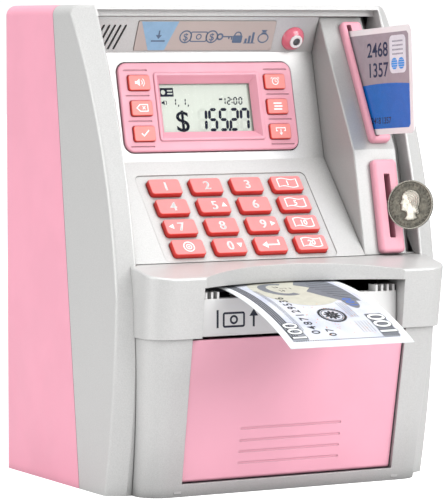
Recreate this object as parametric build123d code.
from build123d import *
import os
from math import cos, degrees, hypot, pi, radians, sin

# Toy cash-machine savings bank. Millimetres. X points to the right of a person who faces the
# front, the front faces -Y and Z is up. The origin is on the floor plane of the casing.

# ---- Casing --------------------------------------------------------------------------------
HALF_WIDTH = 89.0
HEIGHT = 234.0
BACK_Y = 77.0
WALL = 2.4
SHELL_ROUND = 5.0            # outer radius of the rear shell's and the roof's long edges
SEAM = 0.4                   # open groove between the two casing halves
SEAM_Y_AT_FLOOR = -8.9
SEAM_LEAN = 0.1208           # the seam moves back by this much per millimetre of height
FRAME_WALL = 3.6             # front half: thick enough to carry the tongue of the seam
TONGUE = 2.5
BAND_INNER_X = 80.0          # the frame's front bands run from here out to HALF_WIDTH
EDGE_ROUND, RIM_ROUND = 2.0, 0.8          # front edges of the side walls, rims of the recess
FIT = 0.2                    # ordinary gap between two fixed parts

# Side view of the frame's outer edge and of the inner edge of its bands, as (y, z).
EDGE_TOP, EDGE_BELLY, EDGE_KNEE = (2.0, HEIGHT), (-36.0, 160.0), (-49.3, 96.0)
EDGE_SHIN, EDGE_FOOT = (-45.5, 50.0), (-36.4, 0.0)
BAND_TOP, BAND_BELLY, BAND_KNEE = (-8.6, HEIGHT), (-35.9, 171.0), (-52.8, 96.0)
BAND_SHIN, BAND_FOOT = (-50.4, 50.0), (-41.3, 0.0)
CAVITY_TOP, CAVITY_BELLY, CAVITY_KNEE = (1.0, HEIGHT - FRAME_WALL), (-31.8, 160.0), (-45.6, 96.0)
CAVITY_SHIN, CAVITY_FOOT, CAVITY_BACK_Y = (-41.9, 50.0), (-33.0, WALL), 60.0

# ---- Recess with the folded fascia -----------------------------------------------------------
RECESS_X = 79.0
CEILING_Z = 228.6
LEDGE_Z = 231.8              # the top bar steps back below this height
LEDGE_STEP = 1.5
HEADER_TOP = (-4.0, 228.4)
HEADER_CREASE = (3.8, 210.8)
KEYPAD_CREASE = (-8.95, 157.8)
FASCIA_FOOT = (-49.1, 111.3)
FASCIA_LEFT, FASCIA_RIGHT = -78.8, 48.1
FASCIA_THICK = 2.2
PANEL_X = -14.4              # centre line of the display and the keypad

# ---- Header ----------------------------------------------------------------------------------
LABEL_LEFT, LABEL_RIGHT = -53.0, 24.0
LABEL_HEIGHT, LABEL_DROP = 15.8, 10.2     # drop: centre of the feature below the top of its plane
LABEL_THICK = 0.6
SPEAKER_SLOTS = 5
SPEAKER_SLOT_PITCH, SPEAKER_SLOT_WIDTH = 3.0, 1.1
SPEAKER_SLOT_LENGTH, SPEAKER_SLOT_LEAN = 14.0, 20.0
SPEAKER_X, SPEAKER_DROP = -67.8, 11.0
LOOKOUT_X, LOOKOUT_DROP, LOOKOUT_R = 35.6, 12.0, 6.4
LOOKOUT_RISE = 4.0
RING_R, LENS_R = 3.4, 1.9

# ---- Display ---------------------------------------------------------------------------------
BEZEL_WIDTH, BEZEL_HEIGHT, BEZEL_DROP, BEZEL_ROUND = 97.2, 44.6, 27.6, 5.0
BEZEL_PROUD, BEZEL_DEPTH, BEZEL_GAP = 1.2, 3.0, 0.5
FUNNEL_WIDTH, FUNNEL_HEIGHT = 56.0, 31.7
WINDOW_WIDTH, WINDOW_HEIGHT = 50.4, 24.2
BUTTON_WIDTH, BUTTON_HEIGHT, BUTTON_PROUD = 11.7, 7.6, 1.5
BUTTON_X, BUTTON_PITCH = 38.0, 12.7
BUTTON_SHIFT = 0.65          # the button rows hang this much below the window's middle

# ---- Circuit board behind the display ----------------------------------------------------------
BOARD_X, BOARD_DROP, BOARD_WIDTH, BOARD_HEIGHT = -8.0, 30.0, 92.0, 44.0
BOARD_BACK, BOARD_FRONT = -13.6, -12.0    # heights above the display's face
CAPACITOR_X, CAPACITOR_DROP, CAPACITOR_PITCH, CAPACITOR_R = -44.0, 42.0, 7.0, 2.5

# ---- Keypad ----------------------------------------------------------------------------------
KEY_WIDTH, KEY_HEIGHT, KEY_ROUND, KEY_PROUD = 17.0, 9.1, 1.6, 2.4
KEY_PITCH_X, KEY_PITCH_Y, KEY_TOP_DROP = 22.6, 12.3, 17.0
KEY_COLUMNS, KEY_ROWS = 4, 4
KEY_CLEARANCE = 0.25
PAD_WIDTH, PAD_HEIGHT, PAD_DEPTH, PAD_DROP = 95.0, 52.6, 0.5, 34.8

# ---- Slot column -----------------------------------------------------------------------------
COLUMN_LEFT, COLUMN_RIGHT, COLUMN_END = 48.3, 73.0, 78.8
COLUMN_TOP = (-3.16, 228.4)
COLUMN_CREASE = (-37.1, 162.7)
COLUMN_FOOT = (-48.0, 111.3)
COLUMN_WALL = 2.6
GROOVE_DEPTH = 8.0
SLOT_X = 63.6
CARD_X = 61.8                # the card stands nearer to the left side of its surround
CARD_BEZEL_X, CARD_BEZEL_WIDTH, CARD_BEZEL_LENGTH, CARD_BEZEL_DROP = 64.1, 11.6, 66.6, 37.4
COIN_BEZEL_WIDTH, COIN_BEZEL_LENGTH, COIN_BEZEL_DROP = 13.7, 46.8, 28.9
SLOT_BEZEL_PROUD = 4.0
CARD_SLOT_LENGTH, CARD_SLOT_WIDTH = 61.8, 2.6
COIN_SLOT_LENGTH, COIN_SLOT_WIDTH = 32.0, 3.4

# ---- Hood over the note slot -----------------------------------------------------------------
HOOD_FLOOR_Z, HOOD_TOP_Z = 77.0, 111.0
HOOD_HALF_TOP, HOOD_HALF_FLOOR = 82.0, 81.2
HOOD_FRONT_TOP, HOOD_FRONT_FLOOR = -76.3, -72.4
HOOD_BACK_Y, HOOD_LEDGE_Y = -40.0, -46.2   # ledge: how far the roof reaches under the fascia
HOOD_ROOF_BACK, HOOD_ROOF_FRONT = (-49.5, 111.0), (-75.6, 106.0)
HOOD_CORNER = 12.0
HOOD_WALL = 2.2
MOUTH_HALF = 55.2
SCOOP_R, SCOOP_APEX_Y = 94.0, -58.0
LIP_Z = 101.0                # lower edge of the scooped lip

# ---- Feeder plate below the lip --------------------------------------------------------------
PLATE_Y, PLATE_TOP_Z, PLATE_THICK = -67.0, 95.0, 1.8
COMB_RIB, COMB_PITCH, COMB_RISE = 1.2, 3.2, 3.2

# ---- Vault housing and door ------------------------------------------------------------------
VAULT_HALF_TOP, VAULT_HALF_FLOOR = 80.3, 76.9
VAULT_FRONT_TOP, VAULT_FRONT_FLOOR = -70.0, -56.5
VAULT_BACK_Y = -30.0
SILL_Z = 6.2
DOOR_HALF_TOP, DOOR_HALF_FLOOR = 58.4, 57.8
DOOR_TOP_Z, DOOR_THICK, DOOR_GAP = 75.8, 2.6, 0.6
DOOR_LEAN = 0.1834           # the door's face moves forward by this much per millimetre of height
DOOR_FACE_AT_FLOOR = -54.3
HINGE_Y, HINGE_Z = -53.9, 8.5
HINGE_ROLL_R, HINGE_PIN_R, RUNNING = 2.0, 1.0, 0.05
DOOR_LINES = (14.3, 19.9, 25.4, 31.3)
DOOR_LINE_LENGTH, DOOR_LINE_WIDTH, DOOR_LINE_DEPTH = 56.0, 1.1, 0.4
LATCH_X, LATCH_Y = 0.0, -58.4
LATCH_WIDTH, LATCH_DEPTH = 6.0, 3.0

# ---- Note, card and coin ---------------------------------------------------------------------
NOTE_X, NOTE_WIDTH, NOTE_LENGTH, NOTE_THICK = -7.6, 66.3, 150.0, 0.3
NOTE_BEND_R, NOTE_BEND_Y, NOTE_BEND_Z = 170.0, -43.8, -69.3
NOTE_FRONT_ANGLE = 30.8      # from the top of its arc forwards to the free end
CARD_LENGTH, CARD_HEIGHT, CARD_THICK, CARD_ROUND = 85.6, 52.8, 0.8, 3.2
CARD_NOSE = (-71.0, 198.4)   # middle of the card's outer end, as (y, z)
CARD_TILT = 3.5
COIN_R, COIN_THICK, COIN_TIP = 12.13, 1.75, 34.4
COIN_OFFSET = -0.6            # the tipped coin leans on the left side of its slot
COIN_DROP = 30.2             # along the lower column face, from its crease to the coin's centre

# ---- Note feeder -----------------------------------------------------------------------------
ROLLER_ANGLE = 5.3           # the rollers sit this far behind the top of the note's arc
DRIVE_R, PINCH_R, SHAFT_R = 6.0, 5.0, 1.5
NIP = 0.2                    # gap between a roller and the note
CHASSIS_LEFT, CHASSIS_RIGHT, CHASSIS_WALL = -46.5, 30.0, 2.0
GEAR_X, GEAR_WIDTH, GEAR_MODULE = 34.0, 4.0, 0.8
ROLLER_TEETH, IDLER_TEETH, PINION_TEETH = 24, 30, 10
IDLER_DIRECTION, PINION_DIRECTION = -20.0, -45.0
MOTOR_R, MOTOR_LENGTH = 7.5, 25.0

# ---- Casing screws, feet and batteries -------------------------------------------------------
BOSS_X, BOSS_LOW_Z, BOSS_HIGH_Z = 80.0, 24.0, 196.0
BOSS_R, BOSS_BORE_R, PILOT_R, SHANK_BORE_R = 4.4, 3.3, 1.45, 1.7
SCREW_HEAD_R, SCREW_SHANK_R, SCREW_LENGTH = 2.9, 1.4, 12.0
FOOT_R, FOOT_DEPTH, FOOT_X, FOOT_FRONT_Y, FOOT_BACK_Y = 6.0, 1.2, 74.0, 4.0, 62.0
BATTERY_R, BATTERY_LENGTH, BATTERY_PITCH = 7.1, 50.0, 14.8
BATTERY_Z, BATTERY_COUNT = 108.0, 3
HATCH_HALF_X, HATCH_HALF_Z, HATCH_THICK = 32.8, 29.5, 1.9
HATCH_SCREW_Z = BATTERY_Z - 26.0


# ---- Small helpers ---------------------------------------------------------------------------
def seam_y(z):
    """Depth of the seam between the two casing halves at a height."""
    return SEAM_Y_AT_FLOOR + SEAM_LEAN * z


def yz_prism(points, x_low, x_high):
    """Solid between two x values with a closed outline of (y, z) points."""
    face = make_face(Polyline(*points, close=True))
    return extrude(Plane.YZ.offset(x_low) * face, amount=x_high - x_low, dir=(1, 0, 0))


def block(x_low, x_high, y_low, y_high, z_low, z_high):
    """Box between two corners."""
    middle = ((x_low + x_high) / 2, (y_low + y_high) / 2, (z_low + z_high) / 2)
    return Pos(*middle) * Box(x_high - x_low, y_high - y_low, z_high - z_low)


def rod_x(radius, x_low, x_high, y, z):
    """Cylinder along X."""
    return Pos((x_low + x_high) / 2, y, z) * Rot(0, 90, 0) * Cylinder(radius, x_high - x_low)


def rod_y(radius, y_low, y_high, x, z):
    """Cylinder along Y."""
    return Pos(x, (y_low + y_high) / 2, z) * Rot(90, 0, 0) * Cylinder(radius, y_high - y_low)


def slope(top, bottom, x=0.0):
    """Plane of a sloping face: origin on its top edge, local y up the slope, z outwards."""
    run, rise = top[0] - bottom[0], top[1] - bottom[1]
    length = hypot(run, rise)
    return Plane(origin=(x, top[0], top[1]), x_dir=(1, 0, 0), z_dir=(0, -rise / length, run / length))


def parallel_chain(points, distance):
    """Chain of (y, z) points moved back from the front by a distance, with mitred corners."""
    normals = []
    for (y1, z1), (y2, z2) in zip(points, points[1:]):
        length = hypot(y2 - y1, z2 - z1)
        normals.append(((z1 - z2) / length, (y2 - y1) / length))
    moved = []
    for i, (y, z) in enumerate(points):
        before = normals[max(i - 1, 0)]
        after = normals[min(i, len(normals) - 1)]
        scale = distance / (1 + before[0] * after[0] + before[1] * after[1])
        moved.append((y + (before[0] + after[0]) * scale, z + (before[1] + after[1]) * scale))
    return moved


def shifted(points, dy):
    """Chain of (y, z) points moved along Y."""
    return [(y + dy, z) for y, z in points]


def chain_slab(chain, y_front, y_back, x_low, x_high):
    """Solid between two copies of a chain that are shifted along Y."""
    outline = shifted(chain, y_front) + shifted(chain, y_back)[::-1]
    return yz_prism(outline, x_low, x_high)


def plate(plane, x, drop, width, height, low, high, radius=0.0):
    """Rectangular plate on a slope, between two heights above it, centred at a drop below its top."""
    shape = RectangleRounded(width, height, radius) if radius else Rectangle(width, height)
    return extrude(plane * Pos(x, -drop, low) * shape, amount=high - low, dir=plane.z_dir)


def facing(solid, direction, tolerance=0.05):
    """Flat face of a solid that points in a direction and lies farthest that way."""
    axis = Vector(*direction) if not isinstance(direction, Vector) else direction
    faces = [f for f in solid.faces() if (f.normal_at() - axis).length < tolerance]
    return max(faces, key=lambda f: f.center().dot(axis))


HEADER = slope(HEADER_TOP, HEADER_CREASE)
DISPLAY = slope(HEADER_CREASE, KEYPAD_CREASE)
KEYPAD = slope(KEYPAD_CREASE, FASCIA_FOOT)
COLUMN_UPPER = slope(COLUMN_TOP, COLUMN_CREASE)
COLUMN_LOWER = slope(COLUMN_CREASE, COLUMN_FOOT)
FASCIA_CHAIN = [HEADER_TOP, HEADER_CREASE, KEYPAD_CREASE, FASCIA_FOOT]
COLUMN_CHAIN = [COLUMN_TOP, COLUMN_CREASE, COLUMN_FOOT]


# ---- Casing halves ---------------------------------------------------------------------------
def side_face(x, top, belly, knee, shin, foot, seam_gap):
    """Side view of the front half at a given x, closed along the seam."""
    outline = [
        ThreePointArc(top, belly, knee),
        ThreePointArc(knee, shin, foot),
        Line(foot, (seam_y(0) - seam_gap, 0)),
        Line((seam_y(0) - seam_gap, 0), (seam_y(HEIGHT) - seam_gap, HEIGHT)),
        Line((seam_y(HEIGHT) - seam_gap, HEIGHT), top),
    ]
    return Plane.YZ.offset(x) * make_face(outline)


def frame_envelope():
    """Outer form of the front half: a centre slab and a slanting band on each side."""
    band = (BAND_TOP, BAND_BELLY, BAND_KNEE, BAND_SHIN, BAND_FOOT, SEAM / 2)
    edge = (EDGE_TOP, EDGE_BELLY, EDGE_KNEE, EDGE_SHIN, EDGE_FOOT, SEAM / 2)
    centre = extrude(side_face(-BAND_INNER_X, *band), amount=2 * BAND_INNER_X, dir=(1, 0, 0))
    right = loft([side_face(BAND_INNER_X, *band), side_face(HALF_WIDTH, *edge)], ruled=True)
    left = loft([side_face(-HALF_WIDTH, *edge), side_face(-BAND_INNER_X, *band)], ruled=True)
    section = Rectangle(2 * HALF_WIDTH, HEIGHT)
    section = fillet(section.vertices().group_by(Axis.Y)[-1], SHELL_ROUND)
    tube = Plane.XZ * Pos(0, HEIGHT / 2) * section
    tube = extrude(tube, amount=150, both=True)
    envelope = (centre + right + left) & tube
    return fillet(front_arcs(envelope, HALF_WIDTH, 0.0), EDGE_ROUND)


def front_arcs(solid, x, above_z):
    """Curved edges along the front of both sides at +x and -x whose middle is above a height."""
    arcs = solid.edges().filter_by(GeomType.CIRCLE)
    arcs = [e for e in arcs if abs(abs(e.center().X) - x) < 0.1 and e.length > 60]
    return [e for e in arcs if e.center().Z > above_z]


def frame_cavity():
    """Hollow of the front half behind its walls."""
    outline = [
        ThreePointArc(CAVITY_TOP, CAVITY_BELLY, CAVITY_KNEE),
        ThreePointArc(CAVITY_KNEE, CAVITY_SHIN, CAVITY_FOOT),
        Line(CAVITY_FOOT, (CAVITY_BACK_Y, CAVITY_FOOT[1])),
        Line((CAVITY_BACK_Y, CAVITY_FOOT[1]), (CAVITY_BACK_Y, CAVITY_TOP[1])),
        Line((CAVITY_BACK_Y, CAVITY_TOP[1]), CAVITY_TOP),
    ]
    inner = HALF_WIDTH - FRAME_WALL
    return extrude(Plane.YZ.offset(-inner) * make_face(outline), amount=2 * inner, dir=(1, 0, 0))


def seam_tongue():
    """Thin ring on the front half that slides inside the rear shell."""
    def ring(inset, y_before, y_after, radius):
        low, high = inset, HEIGHT - inset
        points = [
            (seam_y(low) - y_before, low),
            (seam_y(low) + y_after, low),
            (seam_y(high) + y_after, high),
            (seam_y(high) - y_before, high),
        ]
        solid = yz_prism(points, -HALF_WIDTH + inset, HALF_WIDTH - inset)
        return fillet(solid.edges().filter_by(Axis.Y).group_by(Axis.Z)[-1], radius)

    return ring(WALL + 0.15, 1.0, TONGUE, 2.6) - ring(FRAME_WALL, 9.0, 9.0, 1.4)


def return_walls():
    """Walls from the inner edges of the bands back to the fascia's edges."""
    fascia_back = shifted(FASCIA_CHAIN, 4.0)
    outline = fascia_back + [(-80.0, FASCIA_FOOT[1]), (-80.0, CEILING_Z + 1.0), (2.0, CEILING_Z + 1.0)]
    thickness = 2.2
    right = yz_prism(outline, RECESS_X, RECESS_X + thickness)
    left = yz_prism(outline, -RECESS_X - thickness, -RECESS_X)
    return right + left


def vault_prism(half_top, half_floor, y_low, y_high, z_low, z_high):
    """Prism along Y with the tapered front view of the vault housing."""
    outline = [(-half_floor, z_low), (half_floor, z_low), (half_top, z_high), (-half_top, z_high)]
    face = Plane.XZ.offset(-y_high) * make_face(Polyline(*outline, close=True))
    return extrude(face, amount=y_high - y_low, dir=(0, -1, 0))


def make_front_frame():
    envelope = frame_envelope()
    frame = envelope - frame_cavity()
    frame -= block(-RECESS_X, RECESS_X, -120, 10, HOOD_FLOOR_Z, CEILING_Z)
    frame -= vault_prism(VAULT_HALF_TOP + FIT, VAULT_HALF_FLOOR + FIT, -120, VAULT_BACK_Y + FIT, -1,
                         HOOD_FLOOR_Z)
    frame += return_walls() & envelope
    frame = fillet(front_arcs(frame, RECESS_X, HOOD_TOP_Z), RIM_ROUND)
    step_front = BAND_TOP[0] - 3.0
    ledge_y = BAND_TOP[0] + LEDGE_STEP + 2.2
    frame -= block(-RECESS_X, RECESS_X, step_front - 20, ledge_y, CEILING_Z - 1, LEDGE_Z)
    frame += seam_tongue()
    for x in (-BOSS_X, BOSS_X):
        side = 1 if x > 0 else -1
        for z in (BOSS_LOW_Z, BOSS_HIGH_Z):
            y_end = seam_y(z) - SEAM / 2
            frame += rod_y(BOSS_R, y_end - 10.0, y_end, x, z)
            rib = sorted((x + side * 2.0, x + side * 7.0))
            frame += block(rib[0], rib[1], y_end - 10.0, y_end - 4.0, z - 1.0, z + 1.0)
            frame -= rod_y(PILOT_R, y_end - 9.0, y_end + 5.0, x, z)
    for foot in feet_list():
        frame -= foot
    return frame


def rear_block(inset, seam_offset, radius):
    """Block of the rear half, pulled in from every outer side."""
    low, high = inset, HEIGHT - inset
    back = BACK_Y - inset
    points = [
        (seam_y(low) + seam_offset, low),
        (back, low),
        (back, high),
        (seam_y(high) + seam_offset, high),
    ]
    solid = yz_prism(points, -HALF_WIDTH + inset, HALF_WIDTH - inset)
    upright = solid.edges().filter_by(Axis.Z).group_by(Axis.Y)[-1]
    top_back = solid.edges().filter_by(Axis.X).group_by(Axis.Y)[-1].group_by(Axis.Z)[-1]
    top_side = solid.edges().filter_by(Axis.Y).group_by(Axis.Z)[-1]
    return fillet(upright + top_back + top_side, radius)


def hatch_pocket(half_x, half_z, y_low, y_high):
    """Box centred on the battery compartment."""
    return block(-half_x, half_x, y_low, y_high, BATTERY_Z - half_z, BATTERY_Z + half_z)


def feet_list():
    """Four round pads, flush with the underside."""
    middle_z = FOOT_DEPTH / 2
    pads = []
    for x in (-FOOT_X, FOOT_X):
        for y in (FOOT_FRONT_Y, FOOT_BACK_Y):
            pads.append(Pos(x, y, middle_z) * Cylinder(FOOT_R, FOOT_DEPTH))
    return pads


def make_rear_shell():
    shell = rear_block(0.0, SEAM / 2, SHELL_ROUND) - rear_block(WALL, -20.0, SHELL_ROUND - WALL)
    shell += hatch_pocket(HATCH_HALF_X + 3.0, HATCH_HALF_Z + 3.0, 58.0, BACK_Y)
    shell -= hatch_pocket(HATCH_HALF_X + FIT, HATCH_HALF_Z + FIT, BACK_Y - 2.0, BACK_Y + 1)
    shell -= hatch_pocket(28.6, 23.4, 60.0, BACK_Y + 1)
    shell -= rod_y(PILOT_R, 66.0, BACK_Y, 0, HATCH_SCREW_Z)
    for x in (-BOSS_X, BOSS_X):
        for z in (BOSS_LOW_Z, BOSS_HIGH_Z):
            y_start = seam_y(z) + SEAM / 2
            side = 1 if x > 0 else -1
            shell += rod_y(BOSS_R, y_start, BACK_Y - 1.0, x, z)
            rib = sorted((x + side * 4.0, x + side * 7.0))
            shell += block(rib[0], rib[1], y_start + 6, BACK_Y - 1.0, z - 0.8, z + 0.8)
            shell -= rod_y(SHANK_BORE_R, y_start - 5, BACK_Y, x, z)
            shell -= rod_y(BOSS_BORE_R, y_start + 3.0, BACK_Y + 1, x, z)
    for foot in feet_list():
        shell -= foot
    return shell


def make_battery_cover():
    half_x, half_z = HATCH_HALF_X, HATCH_HALF_Z
    cover = block(-half_x, half_x, BACK_Y - HATCH_THICK, BACK_Y, BATTERY_Z - half_z, BATTERY_Z + half_z)
    cover = fillet(cover.edges().filter_by(Axis.Y), 2.0)
    for i in range(5):
        grip = block(-9, 9, BACK_Y - 0.5, BACK_Y + 1, BATTERY_Z + 15 + 2.4 * i, BATTERY_Z + 16 + 2.4 * i)
        cover -= grip
    cover -= rod_y(SHANK_BORE_R, BACK_Y - 4, BACK_Y + 1, 0, HATCH_SCREW_Z)
    return cover - rod_y(SCREW_HEAD_R + 0.1, BACK_Y - 1.1, BACK_Y + 1, 0, HATCH_SCREW_Z)


def make_batteries():
    cells = []
    for i in range(BATTERY_COUNT):
        z = BATTERY_Z + (i - 1) * BATTERY_PITCH
        flip = -1 if i % 2 else 1
        cell = rod_x(BATTERY_R, -BATTERY_LENGTH / 2, BATTERY_LENGTH / 2, 67.4, z)
        ends = sorted((flip * BATTERY_LENGTH / 2, flip * (BATTERY_LENGTH / 2 + 1.2)))
        cells.append(cell + rod_x(2.6, ends[0] - 0.1, ends[1], 67.4, z))
    return Compound(children=cells)


def make_screws():
    screws = []
    for x in (-BOSS_X, BOSS_X):
        for z in (BOSS_LOW_Z, BOSS_HIGH_Z):
            head_y = seam_y(z) + SEAM / 2 + 3.1
            screws.append(one_screw(x, head_y, z, SCREW_LENGTH))
    screws.append(one_screw(0, BACK_Y - 1.0, HATCH_SCREW_Z, 8.0))
    return Compound(children=screws)


def one_screw(x, head_y, z, length):
    """Cross-head screw whose head starts at head_y and whose shank points to the front."""
    screw = rod_y(SCREW_SHANK_R, head_y - length, head_y + 0.5, x, z)
    screw += rod_y(SCREW_HEAD_R, head_y, head_y + 1.0, x, z)
    for width, height in ((2.6, 0.6), (0.6, 2.6)):
        half_x, half_z = width / 2, height / 2
        screw -= block(x - half_x, x + half_x, head_y + 0.5, head_y + 2, z - half_z, z + half_z)
    return screw


# ---- Fascia ----------------------------------------------------------------------------------
def key_places():
    """Row, column, x and drop of every keypad key."""
    for row in range(KEY_ROWS):
        for column in range(KEY_COLUMNS):
            x = PANEL_X + (column - (KEY_COLUMNS - 1) / 2) * KEY_PITCH_X
            yield row, column, x, KEY_TOP_DROP + row * KEY_PITCH_Y


def button_places():
    """Side, index, x and drop of every menu button."""
    for side, sign in (("left", -1), ("right", 1)):
        for index in range(3):
            yield side, index, PANEL_X + sign * BUTTON_X, BEZEL_DROP + (index - 1) * BUTTON_PITCH + BUTTON_SHIFT


def speaker_slots():
    slots = []
    for i in range(SPEAKER_SLOTS):
        x = SPEAKER_X + (i - (SPEAKER_SLOTS - 1) / 2) * SPEAKER_SLOT_PITCH
        shape = Pos(x, -SPEAKER_DROP, -6) * Rot(0, 0, 90 - SPEAKER_SLOT_LEAN)
        shape = HEADER * shape * SlotOverall(SPEAKER_SLOT_LENGTH, SPEAKER_SLOT_WIDTH)
        slots.append(extrude(shape, amount=12, dir=HEADER.z_dir))
    return slots


def make_fascia_panel():
    outline = FASCIA_CHAIN + trimmed_back(FASCIA_CHAIN, FASCIA_THICK)
    panel = yz_prism(outline, FASCIA_LEFT, FASCIA_RIGHT)
    panel -= plate(HEADER, (LABEL_LEFT + LABEL_RIGHT) / 2, LABEL_DROP, LABEL_RIGHT - LABEL_LEFT + 0.3,
                   LABEL_HEIGHT + 0.3, -0.3, 2, 0.8)
    for slot in speaker_slots():
        panel -= slot
    panel -= plate(HEADER, LOOKOUT_X, LOOKOUT_DROP, 4.2, 4.2, -6, 3)
    hole_width, hole_height = BEZEL_WIDTH + 2 * BEZEL_GAP, BEZEL_HEIGHT + 2 * BEZEL_GAP
    panel -= plate(DISPLAY, PANEL_X, BEZEL_DROP, hole_width, hole_height, -6, 3, BEZEL_ROUND + BEZEL_GAP)
    panel -= plate(KEYPAD, PANEL_X, PAD_DROP, PAD_WIDTH, PAD_HEIGHT, -PAD_DEPTH, 3, 3.0)
    key_width, key_height = KEY_WIDTH + 2 * KEY_CLEARANCE, KEY_HEIGHT + 2 * KEY_CLEARANCE
    for _, _, x, drop in key_places():
        panel -= plate(KEYPAD, x, drop, key_width, key_height, -6, 3, KEY_ROUND + KEY_CLEARANCE)
    return panel


def trimmed_back(chain, thickness):
    """Back side of a folded plate, with its ends cut level with the front side's ends."""
    back = parallel_chain(chain, thickness)
    top_run = (back[0][0] - back[1][0]) / (back[0][1] - back[1][1])
    foot_run = (back[-1][0] - back[-2][0]) / (back[-1][1] - back[-2][1])
    first = (back[0][0] + top_run * (chain[0][1] - back[0][1]), chain[0][1])
    last = (back[-1][0] + foot_run * (chain[-1][1] - back[-1][1]), chain[-1][1])
    return [last] + back[-2:0:-1] + [first]


def make_header_label():
    return plate(HEADER, (LABEL_LEFT + LABEL_RIGHT) / 2, LABEL_DROP, LABEL_RIGHT - LABEL_LEFT, LABEL_HEIGHT,
                 -0.25, LABEL_THICK - 0.25, 0.7)


def lookout_place():
    return HEADER * Pos(LOOKOUT_X, -LOOKOUT_DROP, 0)


def make_camera_dome():
    """Domed knob with a seat for the ring, and a square stem through the panel."""
    radius = (LOOKOUT_R ** 2 + LOOKOUT_RISE ** 2) / (2 * LOOKOUT_RISE)
    ball = Pos(0, 0, LOOKOUT_RISE - radius) * Sphere(radius)
    dome = ball & (Pos(0, 0, 5.05) * Cylinder(12, 10))
    dome -= Pos(0, 0, LOOKOUT_RISE) * Cylinder(RING_R + 0.1, 1.6)
    dome += Pos(0, 0, -1.9) * Box(3.8, 3.8, 4.0)
    return lookout_place() * dome


def make_camera_ring():
    ring = Pos(0, 0, LOOKOUT_RISE - 0.3) * Cylinder(RING_R, 0.9)
    ring = fillet(ring.edges().group_by(Axis.Z)[-1], 0.4)
    return lookout_place() * (ring - Pos(0, 0, LOOKOUT_RISE) * Cylinder(LENS_R + 0.1, 4))


def make_camera_lens():
    ball = Pos(0, 0, LOOKOUT_RISE - 3.6) * Sphere(4.0)
    return lookout_place() * (ball & (Pos(0, 0, LOOKOUT_RISE - 0.3 + 0.5) * Cylinder(LENS_R, 1.9)))


# ---- Display ---------------------------------------------------------------------------------
def make_display_bezel():
    bezel = plate(DISPLAY, PANEL_X, BEZEL_DROP, BEZEL_WIDTH, BEZEL_HEIGHT, -BEZEL_DEPTH, BEZEL_PROUD,
                  BEZEL_ROUND)
    bezel = fillet(facing(bezel, DISPLAY.z_dir).edges(), 0.9)
    centre = DISPLAY * Pos(PANEL_X, -BEZEL_DROP, 0)
    rim_width, rim_height = FUNNEL_WIDTH + 3.0, FUNNEL_HEIGHT + 2.6
    rim = extrude(centre * Pos(0, 0, 0.5) * RectangleRounded(rim_width, rim_height, 1.6), amount=1.4,
                  dir=DISPLAY.z_dir)
    bezel += fillet(facing(rim, DISPLAY.z_dir).edges(), 0.5)
    mouth = centre * Pos(0, 0, BEZEL_PROUD + 0.8) * Rectangle(FUNNEL_WIDTH, FUNNEL_HEIGHT)
    throat = centre * Pos(0, 0, -1.6) * Rectangle(WINDOW_WIDTH, WINDOW_HEIGHT)
    bezel -= loft([throat, mouth], ruled=True)
    bezel -= plate(DISPLAY, PANEL_X, BEZEL_DROP, WINDOW_WIDTH, WINDOW_HEIGHT, -BEZEL_DEPTH - 1, -1.5)
    seat_width, seat_height = WINDOW_WIDTH + 3.4, WINDOW_HEIGHT + 3.4
    bezel -= plate(DISPLAY, PANEL_X, BEZEL_DROP, seat_width, seat_height, -BEZEL_DEPTH - 1, -1.9)
    for _, _, x, drop in button_places():
        bezel -= plate(DISPLAY, x, drop, BUTTON_WIDTH + 0.5, BUTTON_HEIGHT + 0.5, -6, 4, 1.3)
    for sign in (-1, 1):
        for index in range(4):
            drop = BEZEL_DROP + (index - 1.5) * BUTTON_PITCH + BUTTON_SHIFT
            line_x = PANEL_X + sign * (BUTTON_X + 1.2)
            bezel -= plate(DISPLAY, line_x, drop, 13.0, 0.7, BEZEL_PROUD - 0.5, 4, 0.3)
    return bezel


def make_display_lens():
    return plate(DISPLAY, PANEL_X, BEZEL_DROP, WINDOW_WIDTH + 3.0, WINDOW_HEIGHT + 3.0, -2.9, -2.1, 0.5)


def make_lcd_module():
    return plate(DISPLAY, PANEL_X, BEZEL_DROP, WINDOW_WIDTH + 7.0, WINDOW_HEIGHT + 8.0, -6.0, -3.1, 0.5)


def make_button(x, drop):
    cap = plate(DISPLAY, x, drop, BUTTON_WIDTH, BUTTON_HEIGHT, -BEZEL_DEPTH, BEZEL_PROUD + BUTTON_PROUD, 1.1)
    return fillet(facing(cap, DISPLAY.z_dir).edges(), 0.6)


def make_key(x, drop):
    cap = plate(KEYPAD, x, drop, KEY_WIDTH, KEY_HEIGHT, -3.0, KEY_PROUD, KEY_ROUND)
    return fillet(facing(cap, KEYPAD.z_dir).edges(), 0.9)


def make_switch_mats():
    """Rubber switch mats: one behind the keys, with a dome under each, and one behind each button row."""
    mat = plate(KEYPAD, PANEL_X, 35.5, 92.0, 50.0, -5.8, -4.9, 1.0)
    for _, _, x, drop in key_places():
        mat += plate(KEYPAD, x, drop, 8.0, 5.0, -5.0, -4.4, 1.0)
    solids = [mat]
    for x in (PANEL_X - BUTTON_X, PANEL_X + BUTTON_X):
        solids.append(plate(DISPLAY, x, BEZEL_DROP, 12.0, 36.0, -5.4, -4.1, 1.0))
    return Compound(children=solids)


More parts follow.
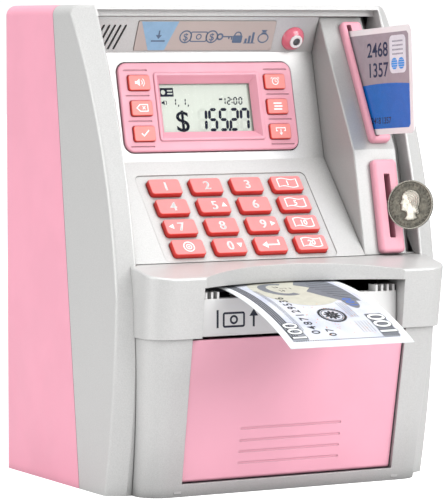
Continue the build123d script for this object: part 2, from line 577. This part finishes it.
def make_main_board():
    """Circuit board behind the display with its larger components."""
    component_back = BOARD_FRONT - 0.1
    board = plate(DISPLAY, BOARD_X, BOARD_DROP, BOARD_WIDTH, BOARD_HEIGHT, BOARD_BACK, BOARD_FRONT)
    board += plate(DISPLAY, -28.0, 26.0, 15.0, 15.0, component_back, -9.8)
    board += plate(DISPLAY, 12.0, 34.0, 12.0, 8.0, component_back, -10.2)
    board += plate(DISPLAY, BOARD_X, 44.0, 30.0, 4.0, component_back, -8.4)
    for i in range(4):
        x = CAPACITOR_X + CAPACITOR_PITCH * i
        size = 2 * CAPACITOR_R
        board += plate(DISPLAY, x, CAPACITOR_DROP, size, size, -17.0, BOARD_BACK + 0.1, CAPACITOR_R - 0.1)
    return board


def make_speaker():
    basket = HEADER * Pos(SPEAKER_X, -SPEAKER_DROP, -5.6) * Cylinder(6.6, 4.4)
    magnet = HEADER * Pos(SPEAKER_X, -SPEAKER_DROP, -9.0) * Cylinder(3.6, 2.6)
    return basket + magnet


# ---- Slot column -----------------------------------------------------------------------------
def on_column_front(point):
    """True for the middle of a long edge of the column's two front faces."""
    at_side = min(abs(point.X - COLUMN_LEFT), abs(point.X - COLUMN_RIGHT)) < 0.1
    middles = [((a[0] + b[0]) / 2, (a[1] + b[1]) / 2) for a, b in zip(COLUMN_CHAIN, COLUMN_CHAIN[1:])]
    return at_side and any(hypot(point.Y - y, point.Z - z) < 0.5 for y, z in middles)


def make_slot_column():
    left_back = [(y + 3.0, z) for y, z in FASCIA_CHAIN]
    column = yz_prism(COLUMN_CHAIN + left_back[::-1], COLUMN_LEFT, COLUMN_LEFT + 2.2)
    column += chain_slab(COLUMN_CHAIN, 0.0, COLUMN_WALL, COLUMN_LEFT, COLUMN_RIGHT)
    column += chain_slab(COLUMN_CHAIN, 0.0, GROOVE_DEPTH + 2.2, COLUMN_RIGHT - 2.2, COLUMN_RIGHT)
    column += chain_slab(COLUMN_CHAIN, GROOVE_DEPTH, GROOVE_DEPTH + 2.2, COLUMN_RIGHT - 2.2, COLUMN_END)
    shelf_back = COLUMN_FOOT[0] + GROOVE_DEPTH + 2.2
    column += block(COLUMN_RIGHT - 2.2, COLUMN_END, HOOD_LEDGE_Y + FIT, shelf_back, COLUMN_FOOT[1] - 2.0,
                    COLUMN_FOOT[1] + 0.4)
    face_rims = [e for e in column.edges() if e.length > 40 and on_column_front(e.center())]
    column = fillet(face_rims, RIM_ROUND)
    column -= plate(COLUMN_UPPER, CARD_X, CARD_BEZEL_DROP, 6.2, CARD_SLOT_LENGTH + 2.0, -8, 3)
    column -= plate(COLUMN_LOWER, SLOT_X, COIN_BEZEL_DROP, 6.2, COIN_SLOT_LENGTH + 4.0, -8, 3)
    return column


def slot_bezel(plane, x, slot_x, drop, width, length, slot_width, slot_length):
    """Raised surround with a rounded rim, a slot and a stem that fits the column's opening."""
    rim = plate(plane, x, drop, width, length, 0.05, SLOT_BEZEL_PROUD, 2.4)
    rim = fillet(facing(rim, plane.z_dir).edges(), 1.9)
    rim += plate(plane, slot_x, drop, 5.8, slot_length + 1.6, -3.6, 1.0)
    return rim - plate(plane, slot_x, drop, slot_width, slot_length, -8, 8, 0.6)


def make_card_bezel():
    return slot_bezel(COLUMN_UPPER, CARD_BEZEL_X, CARD_X, CARD_BEZEL_DROP, CARD_BEZEL_WIDTH,
                      CARD_BEZEL_LENGTH, CARD_SLOT_WIDTH, CARD_SLOT_LENGTH)


def make_coin_bezel():
    return slot_bezel(COLUMN_LOWER, SLOT_X, SLOT_X, COIN_BEZEL_DROP, COIN_BEZEL_WIDTH,
                      COIN_BEZEL_LENGTH, COIN_SLOT_WIDTH, COIN_SLOT_LENGTH)


def make_coin_chute():
    """Flat channel that lets a coin fall from its slot into the vault."""
    outline = [(-36.0, 150.0), (-36.0, 118.0), (-24.0, 80.0), (-2.0, 80.0), (-8.0, 104.0), (-10.0, 150.0)]
    chute = yz_prism(outline, SLOT_X - 3.4, SLOT_X + 3.4)
    channel = [(-40.0, 148.0), (-40.0, 120.0), (-33.0, 117.6), (-21.5, 79.0), (-4.5, 79.0), (-9.8, 104.0),
               (-12.0, 148.0)]
    return chute - yz_prism(channel, SLOT_X - 1.9, SLOT_X + 1.9)


# ---- Hood and feeder plate -------------------------------------------------------------------
def rounded_plan(half_width, front_y, back_y, radius, z):
    """Plan view with its two front corners rounded, at a height."""
    sketch = Pos(0, (front_y + back_y) / 2) * Rectangle(2 * half_width, back_y - front_y)
    sketch = fillet(sketch.vertices().group_by(Axis.Y)[0], radius)
    return Pos(0, 0, z) * sketch


def hood_block(inset, roof_drop):
    """Leaning block of the hood, pulled in by its wall, below its sloping roof."""
    radius = HOOD_CORNER - inset
    low = rounded_plan(HOOD_HALF_FLOOR - inset, HOOD_FRONT_FLOOR + inset, HOOD_BACK_Y, radius, HOOD_FLOOR_Z)
    high = rounded_plan(HOOD_HALF_TOP - inset, HOOD_FRONT_TOP + inset, HOOD_BACK_Y, radius, HOOD_TOP_Z)
    solid = loft([low, high], ruled=True)
    roof = slope(HOOD_ROOF_BACK, HOOD_ROOF_FRONT)
    above = roof * Pos(0, 0, 50 - roof_drop) * Box(400, 400, 100)
    return solid - above


def make_bill_hood():
    outer = hood_block(0.0, 0.0)
    front_rim = [e for e in outer.edges() if e.center().Y < -60 and e.center().Z > 105]
    outer = fillet(front_rim, 1.2)
    hood = outer - hood_block(HOOD_WALL, HOOD_WALL)
    for sign in (-1, 1):
        wall = sorted((sign * MOUTH_HALF, sign * (MOUTH_HALF + 2.0)))
        hood += block(wall[0], wall[1], -90, PLATE_Y + 7.0, HOOD_FLOOR_Z, 120) & hood_block(0.6, 0.6)
    hood -= block(-MOUTH_HALF, MOUTH_HALF, -90, -40, HOOD_FLOOR_Z - 1, LIP_Z)
    lip = block(-MOUTH_HALF, MOUTH_HALF, SCOOP_APEX_Y - 25, SCOOP_APEX_Y + 2.6, LIP_Z, 120)
    hood += lip & hood_block(0.6, 0.6)
    scoop = Pos(0, SCOOP_APEX_Y - SCOOP_R, 100) * Cylinder(SCOOP_R, 60)
    hood -= scoop & block(-MOUTH_HALF, MOUTH_HALF, -90, -40, HOOD_FLOOR_Z - 1, 130)
    bands = frame_envelope() - block(-RECESS_X + FIT, RECESS_X - FIT, -120, 120, HOOD_FLOOR_Z - 10, HEIGHT)
    hood -= Pos(0, -FIT, 0) * bands
    return hood - block(-RECESS_X - 1, RECESS_X + 1, HOOD_LEDGE_Y, 0, HOOD_FLOOR_Z - 1, HEIGHT)


def make_feeder_plate():
    """Plate that closes the mouth below the note, with a comb of note guides along its top."""
    y_low, y_high = PLATE_Y, PLATE_Y + PLATE_THICK
    half = MOUTH_HALF - 0.3
    feeder = block(-half, half, y_low, y_high, HOOD_FLOOR_Z + FIT, PLATE_TOP_Z)
    feeder += block(-half, half, y_low, y_high + 5.0, PLATE_TOP_Z - 1.8, PLATE_TOP_Z)
    for side in (-1, 1):
        for i in range(4):
            x = side * (half - 1.4 - i * COMB_PITCH)
            rib = block(x - COMB_RIB / 2, x + COMB_RIB / 2, y_low, y_high + 5.0, PLATE_TOP_Z - 1,
                        PLATE_TOP_Z + COMB_RISE)
            feeder += rib
    return feeder


# ---- Vault housing and door ------------------------------------------------------------------
def vault_block(inset, z_low, z_high):
    """Tapered block of the vault housing, pulled in by its wall."""
    def at(z):
        part = z / HOOD_FLOOR_Z
        half = VAULT_HALF_FLOOR + (VAULT_HALF_TOP - VAULT_HALF_FLOOR) * part - inset
        front = VAULT_FRONT_FLOOR + (VAULT_FRONT_TOP - VAULT_FRONT_FLOOR) * part + inset
        return rounded_plan(half, front, VAULT_BACK_Y, HOOD_CORNER - inset, z)

    return loft([at(z_low), at(z_high)], ruled=True)


def door_face_y(z):
    return DOOR_FACE_AT_FLOOR - DOOR_LEAN * z


def make_vault_housing():
    top = HOOD_FLOOR_Z - FIT
    housing = vault_block(0.0, 0.0, top) - vault_block(WALL, WALL, HOOD_FLOOR_Z + 1)
    housing -= block(-200, 200, VAULT_BACK_Y - 0.5, 0, -1, 200)
    gap = DOOR_GAP
    housing -= vault_prism(DOOR_HALF_TOP + gap, DOOR_HALF_FLOOR + gap, -100, -45, SILL_Z, HOOD_FLOOR_Z + 1)
    for sign in (-1, 1):
        lug = sorted((sign * (DOOR_HALF_FLOOR + gap + 0.2), sign * (DOOR_HALF_FLOOR + gap + 4.0)))
        housing += block(lug[0], lug[1], -57.0, HINGE_Y + 3.4, 1.5, HINGE_Z + 3.4)
    housing -= rod_x(HINGE_PIN_R + 0.02, -65, 65, HINGE_Y, HINGE_Z)
    return housing


def make_door():
    face_low = (door_face_y(HINGE_Z), HINGE_Z)
    face_high = (door_face_y(DOOR_TOP_Z), DOOR_TOP_Z)
    back_low = (face_low[0] + DOOR_THICK, HINGE_Z)
    back_high = (face_high[0] + DOOR_THICK, DOOR_TOP_Z)
    slab = yz_prism([face_low, face_high, back_high, back_low], -70, 70)
    door = slab + rod_x(HINGE_ROLL_R, -70, 70, HINGE_Y, HINGE_Z)
    door &= vault_prism(DOOR_HALF_TOP, DOOR_HALF_FLOOR, -100, 0, 0, HOOD_FLOOR_Z)
    plane = slope(face_high, face_low)
    for z in DOOR_LINES:
        drop = hypot(DOOR_TOP_Z - z, (DOOR_TOP_Z - z) * DOOR_LEAN)
        groove = plane * Pos(0, -drop, -DOOR_LINE_DEPTH) * SlotOverall(DOOR_LINE_LENGTH, DOOR_LINE_WIDTH)
        door -= extrude(groove, amount=3, dir=plane.z_dir)
    door += block(LATCH_X - 7, LATCH_X + 7, back_high[0] - 1.0, LATCH_Y + 4.0, DOOR_TOP_Z - 8,
                  DOOR_TOP_Z - 3)
    half_x, half_y = LATCH_WIDTH / 2 + 0.3, LATCH_DEPTH / 2 + 0.3
    door -= block(LATCH_X - half_x, LATCH_X + half_x, LATCH_Y - half_y, LATCH_Y + half_y, 60, 80)
    return door - rod_x(HINGE_PIN_R + RUNNING, -70, 70, HINGE_Y, HINGE_Z)


def make_door_hinge_pin():
    half = DOOR_HALF_FLOOR + DOOR_GAP + 3.8
    return rod_x(HINGE_PIN_R, -half, half, HINGE_Y, HINGE_Z)


def make_latch_bolt():
    """Bolt that drops into the door's catch, drawn back at rest."""
    half_x, half_y = LATCH_WIDTH / 2, LATCH_DEPTH / 2
    z_low = DOOR_TOP_Z - 2.6
    bolt = block(LATCH_X - half_x, LATCH_X + half_x, LATCH_Y - half_y, LATCH_Y + half_y, z_low,
                 z_low + 9.0)
    bolt = chamfer(bolt.edges().group_by(Axis.Z)[0], 0.5)
    return bolt + Pos(LATCH_X, LATCH_Y, z_low + 13.0) * Cylinder(1.2, 8.2)


def make_latch_solenoid():
    z_low = DOOR_TOP_Z - 2.6 + 9.6
    case = block(LATCH_X - 9, LATCH_X + 9, LATCH_Y - 4.5, LATCH_Y + 7, z_low, z_low + 9.5)
    return case - Pos(LATCH_X, LATCH_Y, z_low + 5) * Cylinder(1.3, 30)


# ---- Note, card and coin ---------------------------------------------------------------------
def on_note_arc(radius, angle):
    """(y, z) at a radius about the note's bend axis, at an angle behind its top."""
    return (NOTE_BEND_Y + radius * sin(radians(angle)), NOTE_BEND_Z + radius * cos(radians(angle)))


def arc_slab(radius_low, radius_high, angle_low, angle_high, x_low, x_high):
    """Curved slab about the note's bend axis."""
    middle = (angle_low + angle_high) / 2
    ends = [on_note_arc(r, a) for r in (radius_high, radius_low) for a in (angle_low, angle_high)]
    outline = [
        ThreePointArc(ends[0], on_note_arc(radius_high, middle), ends[1]),
        Line(ends[1], ends[3]),
        ThreePointArc(ends[3], on_note_arc(radius_low, middle), ends[2]),
        Line(ends[2], ends[0]),
    ]
    return extrude(Plane.YZ.offset(x_low) * make_face(outline), amount=x_high - x_low, dir=(1, 0, 0))


def make_play_note():
    span = degrees(NOTE_LENGTH / NOTE_BEND_R)
    half = NOTE_THICK / 2
    return arc_slab(NOTE_BEND_R - half, NOTE_BEND_R + half, -NOTE_FRONT_ANGLE, span - NOTE_FRONT_ANGLE,
                    NOTE_X - NOTE_WIDTH / 2, NOTE_X + NOTE_WIDTH / 2)


def make_atm_card():
    inner = RectangleRounded(CARD_LENGTH, CARD_HEIGHT, CARD_ROUND)
    card = extrude(Pos(CARD_LENGTH / 2, 0) * inner, amount=CARD_THICK / 2, both=True)
    nose = Plane(origin=(CARD_X, CARD_NOSE[0], CARD_NOSE[1]), x_dir=(0, 1, 0), z_dir=(1, 0, 0))
    return nose * Rot(0, 0, -CARD_TILT) * card


def make_coin():
    """Coin at its slot: one edge is in the slot and the face is turned out to the right."""
    disc = Cylinder(COIN_R, COIN_THICK)
    rims = disc.edges().filter_by(GeomType.CIRCLE)
    disc = chamfer(rims, 0.15)
    for sign in (-1, 1):
        disc -= Pos(0, 0, sign * COIN_THICK / 2) * Cylinder(COIN_R - 1.0, 0.3)
    hinge = COLUMN_LOWER * Pos(SLOT_X + COIN_OFFSET, -COIN_DROP, SLOT_BEZEL_PROUD)
    stand = Rot(0, COIN_TIP, 0) * Pos(0, 0, COIN_R - 0.55) * Rot(0, 90, 0)
    return hinge * stand * disc


# ---- Note feeder -----------------------------------------------------------------------------
DRIVE_Y, DRIVE_Z = on_note_arc(NOTE_BEND_R - NOTE_THICK / 2 - NIP - DRIVE_R, ROLLER_ANGLE)
PINCH_Y, PINCH_Z = on_note_arc(NOTE_BEND_R + NOTE_THICK / 2 + NIP + PINCH_R, ROLLER_ANGLE)
IDLER_REACH = GEAR_MODULE * (ROLLER_TEETH + IDLER_TEETH) / 2
PINION_REACH = GEAR_MODULE * (IDLER_TEETH + PINION_TEETH) / 2
IDLER_Y = DRIVE_Y + IDLER_REACH * cos(radians(IDLER_DIRECTION))
IDLER_Z = DRIVE_Z + IDLER_REACH * sin(radians(IDLER_DIRECTION))
PINION_Y = IDLER_Y + PINION_REACH * cos(radians(PINION_DIRECTION))
PINION_Z = IDLER_Z + PINION_REACH * sin(radians(PINION_DIRECTION))


def spur_gear(teeth, first_tooth, y, z):
    """Spur gear along X. first_tooth is the direction of one tooth, in degrees from +Y towards +Z."""
    pitch_r = GEAR_MODULE * teeth / 2
    root_r, tip_r = pitch_r - 1.15 * GEAR_MODULE, pitch_r + 0.85 * GEAR_MODULE
    half_pitch = GEAR_MODULE * pi * 0.21
    lean = 0.364
    half_root = half_pitch + lean * (pitch_r - root_r) * 0.8
    half_tip = half_pitch - lean * (tip_r - pitch_r)
    gear = rod_x(root_r, GEAR_X, GEAR_X + GEAR_WIDTH, 0, 0)
    flank = [(root_r - 0.4, -half_root), (tip_r, -half_tip), (tip_r, half_tip), (root_r - 0.4, half_root)]
    tooth = yz_prism(flank, GEAR_X, GEAR_X + GEAR_WIDTH)
    for i in range(teeth):
        gear += Rot(first_tooth + i * 360 / teeth, 0, 0) * tooth
    return Pos(0, y, z) * gear


def idler_first_tooth():
    """The idler shows a gap to the roller gear's tooth."""
    return IDLER_DIRECTION + 180 + 180 / IDLER_TEETH


def pinion_first_tooth():
    """The pinion's tooth lies half a pitch away from where the idler's teeth meet it."""
    idler_pitch, pinion_pitch = 360 / IDLER_TEETH, 360 / PINION_TEETH
    phase = ((PINION_DIRECTION - idler_first_tooth()) / idler_pitch) % 1
    return PINION_DIRECTION + 180 - (0.5 - phase) * pinion_pitch


def make_drive_shaft():
    shaft = rod_x(SHAFT_R, CHASSIS_LEFT - 1.5, GEAR_X + GEAR_WIDTH + 1.0, DRIVE_Y, DRIVE_Z)
    return shaft + spur_gear(ROLLER_TEETH, IDLER_DIRECTION, DRIVE_Y, DRIVE_Z)


def make_drive_tyres():
    tyres = []
    for x in (-28.0, 10.0):
        tyre = rod_x(DRIVE_R, x, x + 8.0, DRIVE_Y, DRIVE_Z) - rod_x(SHAFT_R, x - 1, x + 9, DRIVE_Y, DRIVE_Z)
        tyres.append(tyre)
    return Compound(children=tyres)


def make_pinch_roller():
    roller = rod_x(SHAFT_R, CHASSIS_LEFT - 1.5, CHASSIS_RIGHT + 3.5, PINCH_Y, PINCH_Z)
    for x in (-28.0, 10.0):
        roller += rod_x(PINCH_R, x, x + 8.0, PINCH_Y, PINCH_Z)
    return roller


def make_idler_gear():
    gear = spur_gear(IDLER_TEETH, idler_first_tooth(), IDLER_Y, IDLER_Z)
    return gear - rod_x(SHAFT_R + RUNNING, 0, 60, IDLER_Y, IDLER_Z)


def make_motor_pinion():
    gear = spur_gear(PINION_TEETH, pinion_first_tooth(), PINION_Y, PINION_Z)
    return gear + rod_x(1.0, CHASSIS_RIGHT + 1.0, GEAR_X + 0.5, PINION_Y, PINION_Z)


def make_feed_motor():
    x_high = CHASSIS_RIGHT - 0.1
    motor = rod_x(MOTOR_R, x_high - MOTOR_LENGTH, x_high, PINION_Y, PINION_Z)
    flats = block(0, 40, PINION_Y - 10, PINION_Y + 10, PINION_Z - 6, PINION_Z + 6)
    motor = motor & flats
    return motor + rod_x(2.8, x_high - 0.5, x_high + 1.0, PINION_Y, PINION_Z)


def make_feeder_chassis():
    """Two side plates that carry the rollers, the idler's stud and the motor, joined by the note bed."""
    outline = [(-57.0, 92.0), (-57.0, 98.5), (-38.0, 110.0), (-17.0, 112.0), (12.0, 98.0), (12.0, 67.0),
               (-8.0, 67.0), (-36.0, 84.0)]
    chassis = yz_prism(outline, CHASSIS_LEFT, CHASSIS_LEFT + CHASSIS_WALL)
    chassis += yz_prism(outline, CHASSIS_RIGHT, CHASSIS_RIGHT + CHASSIS_WALL)
    bed_top = NOTE_BEND_R - 1.2
    chassis += arc_slab(bed_top - 1.8, bed_top, -4.2, 2.0, CHASSIS_LEFT + 1, CHASSIS_RIGHT + 1)
    chassis += arc_slab(bed_top - 1.8, bed_top, 8.4, 16.0, CHASSIS_LEFT + 1, CHASSIS_RIGHT + 1)
    chassis -= rod_x(SHAFT_R + RUNNING, -60, 60, DRIVE_Y, DRIVE_Z)
    chassis -= rod_x(SHAFT_R + RUNNING, -60, 60, PINCH_Y, PINCH_Z)
    chassis -= rod_x(3.0, CHASSIS_RIGHT - 1, 60, PINION_Y, PINION_Z)
    return chassis + rod_x(SHAFT_R, CHASSIS_RIGHT + 1, GEAR_X + GEAR_WIDTH + 0.6, IDLER_Y, IDLER_Z)


# ---- Every node ------------------------------------------------------------------------------
def build_nodes():
    nodes = {
        "rear_shell": make_rear_shell(),
        "front_frame": make_front_frame(),
        "fascia_panel": make_fascia_panel(),
        "slot_column": make_slot_column(),
        "vault_housing": make_vault_housing(),
        "bill_hood": make_bill_hood(),
        "feeder_plate": make_feeder_plate(),
        "door": make_door(),
        "door_hinge_pin": make_door_hinge_pin(),
        "latch_bolt": make_latch_bolt(),
        "latch_solenoid": make_latch_solenoid(),
        "display_bezel": make_display_bezel(),
        "display_lens": make_display_lens(),
        "lcd_module": make_lcd_module(),
        "header_label": make_header_label(),
        "camera_dome": make_camera_dome(),
        "camera_ring": make_camera_ring(),
        "camera_lens": make_camera_lens(),
        "card_bezel": make_card_bezel(),
        "coin_bezel": make_coin_bezel(),
        "atm_card": make_atm_card(),
        "coin": make_coin(),
        "play_note": make_play_note(),
        "feeder_chassis": make_feeder_chassis(),
        "drive_shaft": make_drive_shaft(),
        "drive_tyres": make_drive_tyres(),
        "pinch_roller": make_pinch_roller(),
        "idler_gear": make_idler_gear(),
        "motor_pinion": make_motor_pinion(),
        "feed_motor": make_feed_motor(),
        "main_board": make_main_board(),
        "switch_mats": make_switch_mats(),
        "speaker": make_speaker(),
        "coin_chute": make_coin_chute(),
        "battery_cover": make_battery_cover(),
        "batteries": make_batteries(),
        "feet": Compound(children=feet_list()),
        "screws": make_screws(),
    }
    for side, index, x, drop in button_places():
        nodes[f"button_{side}_{index + 1}"] = make_button(x, drop)
    for row, column, x, drop in key_places():
        nodes[f"key_r{row + 1}c{column + 1}"] = make_key(x, drop)
    return nodes


os.makedirs("parts", exist_ok=True)
for name, shape in build_nodes().items():
    export_step(shape, os.path.join("parts", name + ".step"))
